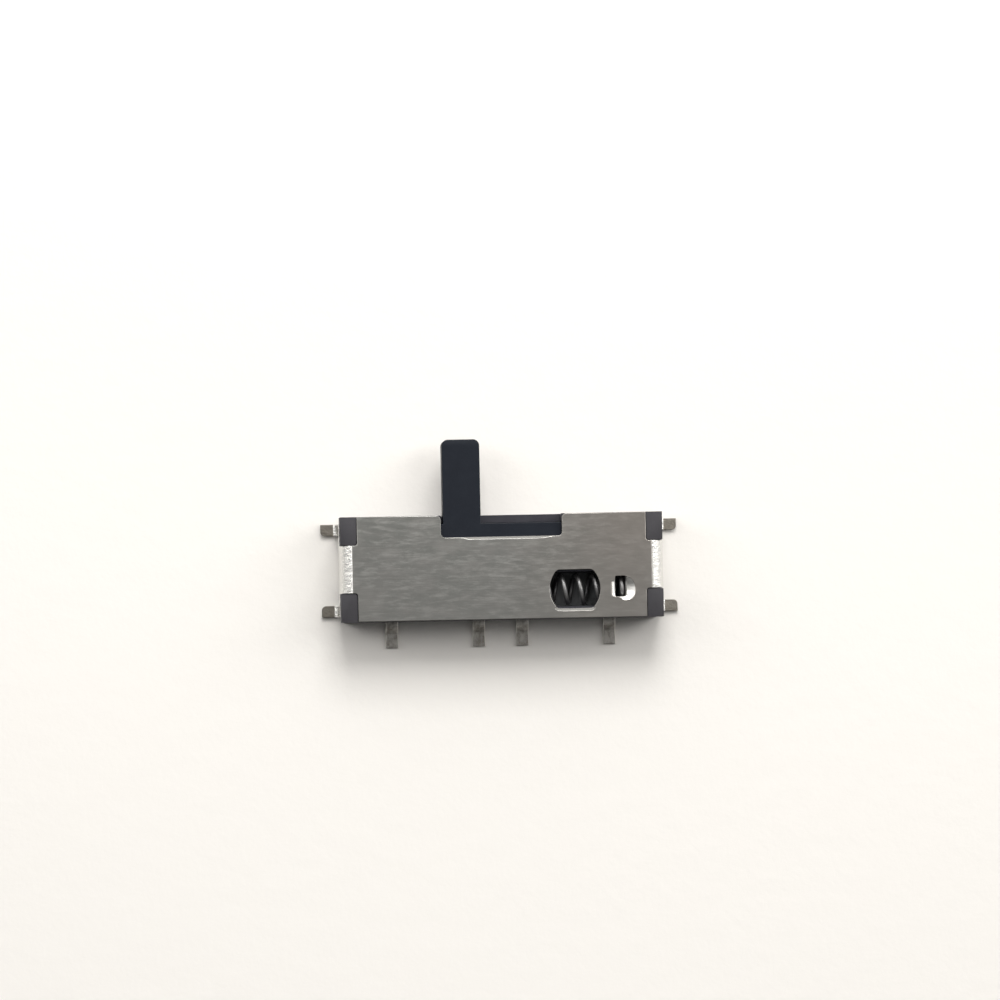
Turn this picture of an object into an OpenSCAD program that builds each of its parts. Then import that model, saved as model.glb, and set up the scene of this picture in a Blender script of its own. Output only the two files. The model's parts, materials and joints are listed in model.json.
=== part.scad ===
// Surface-mount slide switch with a spring-return side lever.
// Millimetres. X runs along the slide, Y points the way the lever sticks out, Z is up from the board.
// The origin is the centre of the body's underside, on the board. The lever is drawn released.

/* [Slide] */
// Travel of the lever, from released to fully pushed
travel = 2.68; // [2.2:0.02:3.2]
// Width of the lever, along the slide
lever_width = 1.3; // [1:0.05:1.8]
// Thickness of the lever
lever_thickness = 0.85; // [0.6:0.05:0.95]
// Length of the lever beyond the body's front face
lever_reach = 2.6; // [1.5:0.1:5]
// Corner radius at the lever's tip
lever_tip_radius = 0.22; // [0.1:0.01:0.4]
// Depth of the slider's bar, front to back
bar_depth = 1.54; // [1.3:0.02:2]
// How far the bar reaches past the lever's slot at each end of its travel
bar_overlap = 0.07; // [0.05:0.01:0.2]
// Diameter of the slider's spigot, inside the spring
spigot_diameter = 0.55; // [0.4:0.01:0.6]
// Length of the slider's spigot
spigot_length = 0.5; // [0.3:0.05:0.8]

/* [Base] */
// Thickness of the floor that the terminals are moulded into
floor_thickness = 0.4; // [0.32:0.01:0.6]
// Height of the step in the floor under the spring
shelf_height = 0.25; // [0.15:0.01:0.4]
// Thickness of the wall on the lever's side
front_wall = 0.26; // [0.2:0.01:0.5]
// Thickness of the wall on the terminals' side
rear_wall = 0.4; // [0.25:0.01:0.6]
// Thickness of the walls at both ends of the slide
end_wall = 0.46; // [0.3:0.01:0.7]
// Thickness of the rib between the slider's bar and the spring
divider = 0.14; // [0.1:0.01:0.25]
// Length of the block that stops the spring's fixed end
stop_block = 0.7; // [0.5:0.01:1]
// How far the corner posts stay below the cover's top
post_drop = 0.03; // [0.01:0.01:0.15]

/* [Cover] */
// Thickness of the cover's sheet steel
sheet = 0.15; // [0.1:0.01:0.2]
// Length of each corner cut-out, along the slide
corner_length = 0.59; // [0.5:0.01:0.8]
// Depth of each corner cut-out, front to back
corner_depth = 0.98; // [0.8:0.01:1.1]
// Radius in the inner corner of each corner cut-out
corner_radius = 0.09; // [0.03:0.01:0.2]
// Inner radius of the bends at both ends
end_bend_radius = 0.25; // [0.15:0.01:0.3]
// Depth of the lever's notch in the cover
notch_depth = 0.75; // [0.5:0.01:1]
// Radius of the inner corners of the lever's notch
notch_radius = 0.13; // [0.05:0.01:0.3]
// Radius of the outer corners of the lever's notch
mouth_radius = 0.14; // [0.05:0.01:0.25]
// Height of the wide lower part of each end flap above the board
wing_height = 0.85; // [0.6:0.01:1.1]
// Width of each solder foot
foot_width = 0.39; // [0.3:0.01:0.6]
// How far each solder foot reaches beyond the body's end
foot_reach = 0.59; // [0.4:0.01:1]
// Distance between the middles of the two feet at one end
foot_spacing = 2.8; // [2.4:0.05:3.2]
// Inner radius where a foot turns outwards
foot_bend_radius = 0.13; // [0.1:0.01:0.2]
// Radius of each foot's tip on its inner corner
foot_tip_radius = 0.15; // [0.05:0.01:0.25]
// Width of the tab clinched under each end of the base
tab_width = 1.2; // [0.8:0.05:1.6]
// Length of the flat part of each clinched tab
tab_length = 0.55; // [0.3:0.01:0.8]
// Inner radius where a tab turns under the base
tab_bend_radius = 0.05; // [0.03:0.01:0.06]

/* [Windows] */
// Length of the spring's window, along the spring
window_length = 1.74; // [1.4:0.01:2]
// Width of the spring's window, across the spring
window_width = 1.33; // [1:0.01:1.4]
// Radius of the curved sides of the spring's window
window_side_radius = 0.96; // [0.9:0.01:1.5]
// Distance from the middle of the spring's window to the spring's stop
window_to_stop = 1.73; // [1.5:0.01:2]
// Width of the hole that the stop tongue is cut from
stop_hole_width = 0.84; // [0.6:0.01:0.9]
// Length of the stop hole in front of the tongue
stop_hole_length = 0.35; // [0.3:0.01:0.5]
// Length of the straight part of the stop tongue
tongue_length = 0.25; // [0.15:0.01:0.3]
// Inner radius of the tongue's bend
tongue_bend_radius = 0.2; // [0.15:0.01:0.25]
// Gap between the tongue's sides and its hole
tongue_gap = 0.03; // [0.02:0.01:0.06]

/* [Return spring] */
// Diameter of the spring's wire
wire = 0.16; // [0.1:0.01:0.18]
// Outer diameter of the spring
spring_diameter = 1.1; // [1:0.01:1.3]
// Pitch of the working turns with the lever released
spring_pitch = 0.55; // [0.45:0.01:0.6]
// Pitch of the closed turn at each end
end_pitch = 0.32; // [0.22:0.01:0.4]
// Number of working turns
working_turns = 8; // [7:1:8]

/* [Terminals] */
// Grid of the terminals: the inner two are one step apart, and the outer two are two steps further out
grid = 1.5; // [1.3:0.05:1.6]
// Width of each terminal
terminal_width = 0.42; // [0.3:0.01:0.6]
// Thickness of the terminals' strip
terminal_thickness = 0.15; // [0.1:0.01:0.2]
// How far each terminal reaches beyond the body's rear face
terminal_reach = 0.89; // [0.7:0.01:1.2]
// Slope of the terminals' step down to the board, in degrees
terminal_slope = 45; // [30:1:60]
// Width of the contact lands in the floor
land_width = 0.88; // [0.7:0.01:1.1]
// Gap between neighbouring contact lands
land_gap = 0.5; // [0.3:0.01:0.6]

/* [Moving contact] */
// Thickness of the contact's spring strip
contact_thickness = 0.08; // [0.06:0.01:0.1]
// Width of each of the contact's fingers
finger_width = 0.3; // [0.2:0.01:0.35]
// Slot between two fingers
finger_slot = 0.12; // [0.08:0.01:0.2]
// Slope of the contact's arms, in degrees
arm_slope = 60; // [50:1:65]
// Diameter of the stake that holds the contact
stake_diameter = 0.3; // [0.2:0.01:0.35]
// Depth of the contact's pocket in the slider
pocket_depth = 0.2; // [0.15:0.01:0.3]

/* [Clearances] */
// Running gap between the slider and what guides it
slide_gap = 0.03; // [0.02:0.01:0.05]
// Gap at the ends of the slider's travel
end_gap = 0.09; // [0.04:0.01:0.12]
// Gap around the spring
spring_gap = 0.05; // [0.03:0.01:0.08]
// Gap between the spring's ends and what they push on
seat_gap = 0.02; // [0.01:0.01:0.04]
// Gap between the cover's folds and the base
fit_gap = 0.02; // [0.01:0.01:0.04]
// Room between the floor and the slider, where the contact's arms work
contact_room = 0.35; // [0.25:0.01:0.5]

/* [Hidden] */
$fn = 48;
past = 1;   // how far a cutting shape runs past what it cuts
root = 0.1; // of each fold in the cover, inside the flat sheet it starts from

// Along X. The slider is drawn at its released end.
slider_x = -travel / 2;
slot_half = (lever_width + travel) / 2 + end_gap;
bar_half = slot_half + travel / 2 + bar_overlap;
cavity_half = bar_half + travel / 2 + end_gap;
base_half = cavity_half + end_wall;
body_half = base_half + fit_gap + sheet;
plate_half = body_half - corner_length;
bend_x = body_half - sheet - end_bend_radius;
stop_x = cavity_half - stop_block;
window_x = stop_x - window_to_stop;

// Along Y, from the rear face forwards.
body_depth = rear_wall + 2 * spring_gap + spring_diameter + divider + 2 * slide_gap + bar_depth + front_wall;
rear_y = -body_depth / 2;
front_y = body_depth / 2;
channel_y = rear_y + rear_wall;
spring_y = channel_y + spring_gap + spring_diameter / 2;
divider_y = spring_y + spring_diameter / 2 + spring_gap;
bar_rear_y = divider_y + divider + slide_gap;
bar_front_y = bar_rear_y + bar_depth;
inner_front_y = bar_front_y + slide_gap;
track_y = (bar_rear_y + bar_front_y) / 2;
cover_depth = body_depth - fit_gap;
flap_width = body_depth - 2 * corner_depth;
wing_half = foot_spacing / 2 + foot_width / 2;

// Along Z, from the board up.
shelf_z = floor_thickness + shelf_height;
spring_z = shelf_z + spring_gap + spring_diameter / 2;
ceiling_z = spring_z + spring_diameter / 2 + spring_gap;
body_height = ceiling_z + sheet;
slider_top = ceiling_z - slide_gap;
slider_bottom = floor_thickness + contact_room;
lever_bottom = slider_top - lever_thickness;
sill_z = lever_bottom - slide_gap;
fold_z = sheet + foot_bend_radius;
tab_z = fold_z - tab_bend_radius;
bend_z = ceiling_z - end_bend_radius;
tongue_end_z = ceiling_z - tongue_bend_radius - tongue_length;
post_bottom = wing_height + fit_gap;

// The spring, from its fixed end at the stop back to the slider.
spring_travel = 2 * end_pitch + working_turns * spring_pitch;
spring_start = stop_x - seat_gap - wire / 2 - spring_travel;
pusher_x = spring_start - wire / 2 - seat_gap;
coil_radius = (spring_diameter - wire) / 2;
turns = working_turns + 2;
flat_turns = 0.3;        // of wire at each end, square to the axis
rings_per_turn = 16;
wire_sides = 8;

// The moving contact, with its feet one grid step apart.
contact_z = slider_bottom + pocket_depth - contact_thickness / 2;
arm_radius = 0.12;       // of the centreline, where the arm leaves the plate
shoe_radius = 0.14;      // of the centreline, at the foot
shoe_turn = 95;          // degrees from the arm to the upturned tip
tip_length = 0.05;
shoe_gap = 0.01;         // between the feet and the lands
arm_drop = contact_z - contact_thickness / 2 - shoe_gap - floor_thickness;
arm_length = (arm_drop - (arm_radius + shoe_radius) * (1 - cos(arm_slope))) / sin(arm_slope);
contact_flat = grid / 2 - (arm_radius + shoe_radius) * sin(arm_slope) - arm_length * cos(arm_slope);
contact_width = 2 * finger_width + finger_slot;
pocket_side_gap = 0.05;
pocket_half = grid / 2 + shoe_radius + contact_thickness + 0.12;
stake_gap = 0.02;        // around the stake, in the contact's hole
stake_length = contact_thickness + 0.05;

// The terminals' step from the floor down to the board.
terminal_z = floor_thickness - terminal_thickness / 2;
terminal_radius = terminal_thickness;
terminal_drop = floor_thickness - terminal_thickness;
slope_length = (terminal_drop - 2 * terminal_radius * (1 - cos(terminal_slope))) / sin(terminal_slope);
terminal_lead = 0.06;    // straight out of the body before the first bend
terminal_run = terminal_lead + 2 * terminal_radius * sin(terminal_slope) + slope_length * cos(terminal_slope);

// A strip of sheet seen edge-on, as a 2D path from the origin along +X. Its steps are straight
// lengths and turns in turn. A turn is [angle, radius of the centreline], with a positive angle to the left.
module strip(steps, thickness, step = 0) {
    if (step < len(steps)) {
        if (step % 2 == 0) {
            translate([0, -thickness / 2]) square([steps[step], thickness]);
            translate([steps[step], 0]) strip(steps, thickness, step + 1);
        } else {
            turn(steps[step][0], steps[step][1], thickness) strip(steps, thickness, step + 1);
        }
    }
}

// One bend of a strip, and what follows it.
module turn(angle, radius, thickness) {
    side = sign(angle);
    reach = 2 * (radius + thickness);
    translate([0, side * radius]) intersection() {
        difference() {
            circle(radius + thickness / 2);
            circle(radius - thickness / 2);
        }
        polygon([
            [0, 0],
            [0, -side * reach],
            reach * [tan(abs(angle) / 2), -side],
            reach * [sin(abs(angle)), -side * cos(angle)]
        ]);
    }
    translate([radius * sin(abs(angle)), side * radius * (1 - cos(angle))]) rotate(angle) children();
}

// Stands a 2D shape drawn in X and Z up, and gives it a width along Y, centred.
module along_y(width) {
    translate([0, width / 2, 0]) rotate([90, 0, 0]) linear_extrude(width) children();
}

// A box from its low corner to its high corner.
module box(low, high) {
    translate(low) cube(high - low);
}

module both_ends() {
    children();
    mirror([1, 0, 0]) children();
}

module both_sides() {
    children();
    mirror([0, 1, 0]) children();
}

// The moulded base: floor, walls, spring channel and corner posts, with the terminals' metal moulded in.
module base() {
    color([0.17, 0.17, 0.18]) difference() {
        union() {
            base_block();
            both_ends() both_sides() corner_post();
        }
        slider_channel();
        spring_channel();
        lever_slot();
        both_ends() tab_recess();
        for (i = [1:4]) terminal_metal(i);
    }
}

module base_block() {
    along_y(body_depth) {
        translate([-bend_x, 0]) square([2 * bend_x, ceiling_z]);
        translate([-base_half, 0]) square([2 * base_half, bend_z]);
        for (side = [-1, 1]) translate([side * bend_x, bend_z]) circle(end_bend_radius - fit_gap);
    }
}

module corner_post() {
    length = corner_length - 2 * fit_gap;
    depth = front_y - flap_width / 2 - fit_gap;
    translate([plate_half + fit_gap, flap_width / 2 + fit_gap, post_bottom])
        linear_extrude(body_height - post_drop - post_bottom) {
            translate([corner_radius, 0]) square([length - corner_radius, depth]);
            translate([0, corner_radius]) square([length, depth - corner_radius]);
            translate([corner_radius, corner_radius]) circle(corner_radius);
        }
}

module slider_channel() {
    box([-cavity_half, bar_rear_y - slide_gap, floor_thickness],
        [cavity_half, inner_front_y, body_height + past]);
}

// Opens into the slider's channel up to the rib, and ends at the stop block, under the tongue.
module spring_channel() {
    divider_x = pusher_x + travel + end_gap;
    box([-cavity_half, channel_y, shelf_z], [stop_x, divider_y, body_height + past]);
    box([-cavity_half, channel_y, shelf_z], [divider_x, inner_front_y, body_height + past]);
    box([-cavity_half, channel_y, tongue_end_z - slide_gap], [cavity_half, divider_y, body_height + past]);
}

module lever_slot() {
    box([-slot_half, front_y - front_wall - past, sill_z], [slot_half, front_y + past, body_height + past]);
}

module tab_recess() {
    half = tab_width / 2 + fit_gap;
    tip_x = body_half - sheet - tab_bend_radius - tab_length;
    box([tip_x - fit_gap, -half, -past], [base_half + past, half, tab_z + fit_gap]);
}

// The cover: one folded sheet with a top plate, two end flaps, four feet, two clinched tabs
// and the stop tongue.
module cover() {
    color([0.5, 0.5, 0.48]) {
        translate([0, 0, ceiling_z]) linear_extrude(sheet) difference() {
            union() {
                square([2 * plate_half, cover_depth], center = true);
                square([2 * bend_x, flap_width], center = true);
                both_ends() both_sides() translate([plate_half, flap_width / 2]) fillet(corner_radius);
            }
            lever_notch();
            spring_window();
            stop_hole();
        }
        both_ends() end_flap();
        stop_tongue();
    }
}

module lever_notch() {
    translate([-slot_half, cover_depth / 2 - notch_depth]) {
        translate([0, notch_radius]) square([2 * slot_half, notch_depth + past]);
        translate([notch_radius, 0]) square([2 * (slot_half - notch_radius), notch_depth]);
        for (x = [notch_radius, 2 * slot_half - notch_radius])
            translate([x, notch_radius]) circle(notch_radius);
    }
    both_ends() translate([slot_half, cover_depth / 2]) mirror([0, 1]) fillet(mouth_radius);
}

// Fills the corner between two edges that run along +X and +Y from the origin.
module fillet(radius) {
    difference() {
        square(radius);
        translate([radius, radius]) circle(radius);
    }
}

module spring_window() {
    side_x = window_side_radius - window_length / 2;
    translate([window_x, spring_y]) intersection() {
        translate([side_x, 0]) circle(window_side_radius);
        translate([-side_x, 0]) circle(window_side_radius);
        square([window_length, window_width], center = true);
    }
}

// Straight in front of the tongue, and half round behind it, where the tongue starts to bend.
module stop_hole() {
    half = stop_hole_width / 2;
    round_x = tongue_bend_radius + sheet - half;
    translate([stop_x, spring_y]) {
        translate([-stop_hole_length, -half]) square([stop_hole_length + round_x, stop_hole_width]);
        intersection() {
            translate([round_x, 0]) circle(half);
            translate([round_x, -half]) square([half, stop_hole_width]);
        }
    }
}

// Bent down out of the plate, so that the spring's fixed end bears on it.
module stop_tongue() {
    radius = tongue_bend_radius + sheet / 2;
    width = stop_hole_width - 2 * tongue_gap;
    translate([stop_x + sheet + tongue_bend_radius + root, spring_y, ceiling_z + sheet / 2])
        mirror([1, 0, 0]) along_y(width) strip([root, [-90, radius], tongue_length], sheet);
}

module end_flap() {
    wall_x = body_half - sheet;
    flap_bend = end_bend_radius + sheet / 2;
    translate([bend_x - root, 0, ceiling_z + sheet / 2])
        along_y(flap_width) strip([root, [-90, flap_bend], bend_z - fold_z], sheet);
    box([wall_x, -wing_half, fold_z], [body_half, wing_half, wing_height]);
    both_sides() foot();
    tab_fold();
}

// A solder foot: turned outwards at the foot of a wing, with its tip's inner corner rounded.
module foot() {
    square_length = foot_reach - foot_bend_radius - foot_tip_radius;
    tip_x = body_half + foot_reach - foot_tip_radius;
    inner_y = (foot_spacing - foot_width) / 2;
    translate([body_half - sheet / 2, foot_spacing / 2, wing_height]) along_y(foot_width) rotate(-90)
        strip([wing_height - fold_z, [90, foot_bend_radius + sheet / 2], square_length], sheet);
    translate([tip_x, inner_y + foot_tip_radius, 0]) linear_extrude(sheet) {
        square([foot_tip_radius, foot_width - foot_tip_radius]);
        circle(foot_tip_radius);
    }
}

// The tab that holds the cover down turns in under the base.
module tab_fold() {
    translate([body_half - sheet / 2, 0, wing_height]) along_y(tab_width) rotate(-90)
        strip([wing_height - fold_z, [-90, tab_bend_radius + sheet / 2], tab_length], sheet);
}

// The slider: lever, guided bar, spring pusher and spigot, moulded as one.
module slider() {
    color([0.09, 0.1, 0.13]) {
        difference() {
            slider_bar();
            contact_pocket();
        }
        lever();
        spigot();
        stake();
    }
}

// The guided bar, with the pusher that stands behind the spring.
module slider_bar() {
    box([slider_x - bar_half, bar_rear_y, slider_bottom], [slider_x + bar_half, bar_front_y, slider_top]);
    box([slider_x - bar_half, channel_y + slide_gap, slider_bottom],
        [pusher_x, bar_rear_y + slide_gap, slider_top]);
}

module lever() {
    length = front_y + lever_reach - bar_front_y;
    round_x = lever_width / 2 - lever_tip_radius;
    translate([slider_x, bar_front_y, lever_bottom]) linear_extrude(lever_thickness) {
        translate([-lever_width / 2, -slide_gap])
            square([lever_width, length + slide_gap - lever_tip_radius]);
        translate([-round_x, 0]) square([2 * round_x, length]);
        for (side = [-1, 1]) translate([side * round_x, length - lever_tip_radius]) circle(lever_tip_radius);
    }
}

module spigot() {
    translate([pusher_x - slide_gap, spring_y, spring_z])
        rotate([0, 90, 0]) cylinder(d = spigot_diameter, h = spigot_length + slide_gap);
}

module contact_pocket() {
    half_width = contact_width / 2 + pocket_side_gap;
    box([slider_x - pocket_half, track_y - half_width, slider_bottom - past],
        [slider_x + pocket_half, track_y + half_width, slider_bottom + pocket_depth]);
}

module stake() {
    top = slider_bottom + pocket_depth;
    translate([slider_x, track_y, top - stake_length])
        cylinder(d = stake_diameter, h = stake_length + slide_gap);
}

// The moving contact: a plate on the slider's stake, with two sprung fingers each way.
module moving_contact() {
    steps = [
        contact_flat, [-arm_slope, arm_radius],
        arm_length, [shoe_turn, shoe_radius],
        tip_length
    ];
    color([0.72, 0.6, 0.38]) translate([slider_x, track_y, contact_z]) difference() {
        union() {
            for (side = [-1, 1]) translate([0, side * (finger_width + finger_slot) / 2, 0])
                both_ends() along_y(finger_width) strip(steps, contact_thickness);
            box([-contact_flat, -contact_width / 2, -contact_thickness / 2],
                [contact_flat, contact_width / 2, contact_thickness / 2]);
        }
        cylinder(d = stake_diameter + 2 * stake_gap, h = past, center = true);
    }
}

// How far along its axis the spring's wire is after a number of turns, counted from the pusher.
function wire_x(turn) =
    turn <= 0 ? 0
    : turn <= 1 ? end_pitch * turn
    : turn <= turns - 1 ? end_pitch + spring_pitch * (turn - 1)
    : turn <= turns ? end_pitch * (turn - turns + 2) + spring_pitch * working_turns
    : spring_travel;

// A ring of points round the wire, at a number of turns from the spring's top.
function wire_ring(turn) =
    let (around = 90 + 360 * turn)
    [for (side = [0:wire_sides - 1])
        let (
            angle = 360 * side / wire_sides,
            radius = coil_radius + wire / 2 * cos(angle)
        )
        [wire_x(turn) + wire / 2 * sin(angle), radius * cos(around), radius * sin(around)]];

module return_spring() {
    rings = ceil((turns + 2 * flat_turns) * rings_per_turn);
    points = [for (i = [0:rings]) each wire_ring(i * (turns + 2 * flat_turns) / rings - flat_turns)];
    walls = [for (i = [0:rings - 1], side = [0:wire_sides - 1])
        let (
            next = (side + 1) % wire_sides,
            here = i * wire_sides,
            there = here + wire_sides
        )
        [here + side, here + next, there + next, there + side]];
    first = [for (side = [wire_sides - 1:-1:0]) side];
    last = [for (side = [0:wire_sides - 1]) rings * wire_sides + side];
    color([0.3, 0.3, 0.32]) translate([spring_start, spring_y, spring_z])
        polyhedron(points, concat([first], walls, [last]));
}

// The terminals are numbered from -X. The outer two have a land that runs in towards the middle.
function terminal_x(i) = grid * [-2.5, -0.5, 0.5, 2.5][i - 1];

module terminal(i) {
    color([0.62, 0.6, 0.54]) terminal_metal(i);
}

module terminal_metal(i) {
    x = terminal_x(i);
    side = sign(x);
    inner = abs(x) < grid;
    land_near = inner ? land_gap / 2 : grid + land_gap / 2;
    land_far = inner ? grid - land_gap / 2 : abs(x) + terminal_width / 2;
    land_low = min(side * land_near, side * land_far);
    land_high = max(side * land_near, side * land_far);
    land_z = floor_thickness - terminal_thickness;
    box([land_low, track_y - land_width / 2, land_z], [land_high, track_y + land_width / 2, floor_thickness]);
    box([x - terminal_width / 2, rear_y, land_z], [x + terminal_width / 2, track_y, floor_thickness]);
    steps = [
        terminal_lead, [-terminal_slope, terminal_radius],
        slope_length, [terminal_slope, terminal_radius],
        terminal_reach - terminal_run
    ];
    translate([x, rear_y, terminal_z]) rotate(-90) along_y(terminal_width) strip(steps, terminal_thickness);
}

base();
cover();
slider();
return_spring();
moving_contact();
for (i = [1:4]) terminal(i);
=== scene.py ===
"""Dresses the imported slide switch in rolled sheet, moulded plastic, a fine coil and studio light.

Shapes are built in millimetres in the row frame, and scaled to metres at the end. Their places come
from the frame's boxes, and the sizes that the boxes don't give repeat the part's source.
"""

import json
import math

import bmesh
import bpy
from mathutils import Matrix, Vector

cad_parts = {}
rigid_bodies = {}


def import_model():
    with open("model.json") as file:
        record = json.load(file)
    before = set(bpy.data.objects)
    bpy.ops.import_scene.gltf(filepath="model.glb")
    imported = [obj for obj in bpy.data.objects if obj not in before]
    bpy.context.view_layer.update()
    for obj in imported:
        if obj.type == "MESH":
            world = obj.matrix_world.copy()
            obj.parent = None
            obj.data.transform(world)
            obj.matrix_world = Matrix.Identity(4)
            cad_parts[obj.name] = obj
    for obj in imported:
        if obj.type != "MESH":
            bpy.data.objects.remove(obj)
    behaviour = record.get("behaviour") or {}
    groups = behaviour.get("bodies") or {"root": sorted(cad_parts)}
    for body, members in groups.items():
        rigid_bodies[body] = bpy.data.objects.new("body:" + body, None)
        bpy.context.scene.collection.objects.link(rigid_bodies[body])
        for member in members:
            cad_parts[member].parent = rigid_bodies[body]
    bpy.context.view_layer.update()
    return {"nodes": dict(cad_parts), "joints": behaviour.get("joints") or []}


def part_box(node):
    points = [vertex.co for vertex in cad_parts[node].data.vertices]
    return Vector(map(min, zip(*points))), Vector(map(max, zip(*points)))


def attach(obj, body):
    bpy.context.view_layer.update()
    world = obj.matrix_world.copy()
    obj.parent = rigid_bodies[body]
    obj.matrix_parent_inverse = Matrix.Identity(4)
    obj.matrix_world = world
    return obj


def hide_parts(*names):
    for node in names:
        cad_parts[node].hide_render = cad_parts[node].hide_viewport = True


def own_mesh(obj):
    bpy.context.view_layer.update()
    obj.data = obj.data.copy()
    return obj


for leftover in list(bpy.data.objects):
    bpy.data.objects.remove(leftover)

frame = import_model()
MM = 0.001


def box_mm(node):
    """The low and the high corner of a CAD node, in millimetres."""
    low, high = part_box(node)
    return low / MM, high / MM


# -------------------------------------------------- sizes, in millimetres

BASE_LOW, BASE_HIGH = box_mm("base")
COVER_HIGH = box_mm("cover")[1]
SLIDER_LOW, SLIDER_HIGH = box_mm("slider")
SPRING_LOW, SPRING_HIGH = box_mm("return_spring")
CONTACT_LOW, CONTACT_HIGH = box_mm("moving_contact")
TRAVEL = frame["joints"][0]["range_m"][1] / MM

SHEET = 0.15
FOOT_REACH = 0.59
FOOT_WIDTH = 0.39
FOOT_SPACING = 2.8
FOOT_TIP_RADIUS = 0.15
FOOT_BEND = 0.19
FLAP_BEND = 0.25
TAB_BEND = 0.05
TAB_WIDTH = 1.2
TAB_LENGTH = 0.55
TAB_Z = 0.23                # height of the tabs' inner face
WING_TOP = 0.85
CORNER_LENGTH = 0.59
CORNER_DEPTH = 0.98
CORNER_RADIUS = 0.09
NOTCH_DEPTH = 0.75
NOTCH_RADIUS = 0.13
MOUTH_RADIUS = 0.14
WINDOW_LENGTH = 1.74
WINDOW_WIDTH = 1.33
WINDOW_SIDE_RADIUS = 0.96
WINDOW_TO_STOP = 1.73
STOP_HOLE_WIDTH = 0.84
STOP_HOLE_LENGTH = 0.35
TONGUE_LENGTH = 0.25
TONGUE_BEND = 0.2
FOLD_CORNER = 0.05          # radius of the small inner corners beside the folds

LEVER_WIDTH = 1.3
LEVER_THICKNESS = 0.85
LEVER_TIP_RADIUS = 0.22
BAR_DEPTH = 1.54
FRONT_WALL = 0.26
SLIDE_GAP = 0.03
END_GAP = 0.09
SEAT_GAP = 0.02              # between the spring and what it pushes on
SPIGOT_DIAMETER = 0.55
SPIGOT_LENGTH = 0.5
STAKE_DIAMETER = 0.3
STAKE_HEAD = 0.05            # how far the stake stands out under the contact
POCKET_DEPTH = 0.2
POCKET_END_GAP = 0.12
POCKET_SIDE_GAP = 0.05
CONTACT_THICKNESS = 0.08
SHOE_RADIUS = 0.14           # of the contact's shoe, which slides on the lands

WIRE = 0.16
SPRING_PITCH = 0.55
END_PITCH = 0.32
WORKING_TURNS = 8
FLAT_TURNS = 0.3

TERMINALS = range(1, 5)
GRID = 1.5
TERMINAL_WIDTH = 0.42
TERMINAL_THICKNESS = 0.15
TERMINAL_LEAD = 0.06         # straight length before the first bend
TERMINAL_REACH = 0.89        # past the base's rear face
TERMINAL_SLOPE = math.radians(45)
FLOOR_THICKNESS = 0.4
SHELF_Z = 0.65
END_WALL = 0.46
CHANNEL_WIDTH = 1.2
FIT_GAP = 0.02
LAND_WIDTH = 0.88
LAND_GAP = 0.5
PAST = 1                     # how far a cutter reaches past what it cuts

# Worked out from the values above.
TOP = COVER_HIGH.z
CEILING = TOP - SHEET
BODY_HALF = COVER_HIGH.x - FOOT_REACH
PLATE_HALF = BODY_HALF - CORNER_LENGTH
BASE_HALF = BODY_HALF - SHEET - FIT_GAP
CAVITY_HALF = BASE_HALF - END_WALL
COVER_HALF_DEPTH = COVER_HIGH.y
FLAP_HALF = BASE_HIGH.y - CORNER_DEPTH
BEND_X = BODY_HALF - SHEET - FLAP_BEND
SPRING_Y = (SPRING_LOW.y + SPRING_HIGH.y) / 2
SPRING_Z = (SPRING_LOW.z + SPRING_HIGH.z) / 2
COIL_RADIUS = (SPRING_HIGH.z - SPRING_LOW.z - WIRE) / 2
SLIDER_X = -TRAVEL / 2
SLOT_HALF = (LEVER_WIDTH + TRAVEL) / 2 + END_GAP
BAR_FRONT_Y = BASE_HIGH.y - FRONT_WALL - SLIDE_GAP
BAR_REAR_Y = BAR_FRONT_Y - BAR_DEPTH
TRACK_Y = (BAR_FRONT_Y + BAR_REAR_Y) / 2
STOP_X = SPRING_HIGH.x + SEAT_GAP
WINDOW_X = STOP_X - WINDOW_TO_STOP
STAKE_LENGTH = CONTACT_THICKNESS + STAKE_HEAD
POCKET_HALF_LENGTH = GRID / 2 + SHOE_RADIUS + CONTACT_THICKNESS + POCKET_END_GAP
POCKET_HALF_WIDTH = (CONTACT_HIGH.y - CONTACT_LOW.y) / 2 + POCKET_SIDE_GAP
TERMINAL_DROP = FLOOR_THICKNESS - TERMINAL_THICKNESS
TERMINAL_ARC = TERMINAL_THICKNESS * TERMINAL_SLOPE
SLOPE_LENGTH = ((TERMINAL_DROP - 2 * TERMINAL_THICKNESS * (1 - math.cos(TERMINAL_SLOPE)))
                / math.sin(TERMINAL_SLOPE))
TERMINAL_RUN = (TERMINAL_LEAD + 2 * TERMINAL_THICKNESS * math.sin(TERMINAL_SLOPE)
                + SLOPE_LENGTH * math.cos(TERMINAL_SLOPE))
TERMINAL_FLAT = TERMINAL_LEAD + 2 * TERMINAL_ARC + SLOPE_LENGTH + TERMINAL_REACH - TERMINAL_RUN


# -------------------------------------------------- mesh helpers

def arc(x, y, radius, start, end, steps=8):
    """Points on a circle's arc, from start to end in degrees."""
    angles = [math.radians(start + (end - start) * i / steps) for i in range(steps + 1)]
    return [(x + radius * math.cos(a), y + radius * math.sin(a)) for a in angles]


def clamped(value):
    return min(1, max(0, value))


def stations(start, length, steps):
    """Evenly spaced places over a length, both ends included."""
    return [start + length * i / steps for i in range(steps + 1)]


def between(first, second, share):
    return first + (second - first) * share


def mirrored(points):
    """The same outline on the other side of x = 0, so that both halves make one loop."""
    return [(-x, y) for x, y in reversed(points)]


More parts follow.
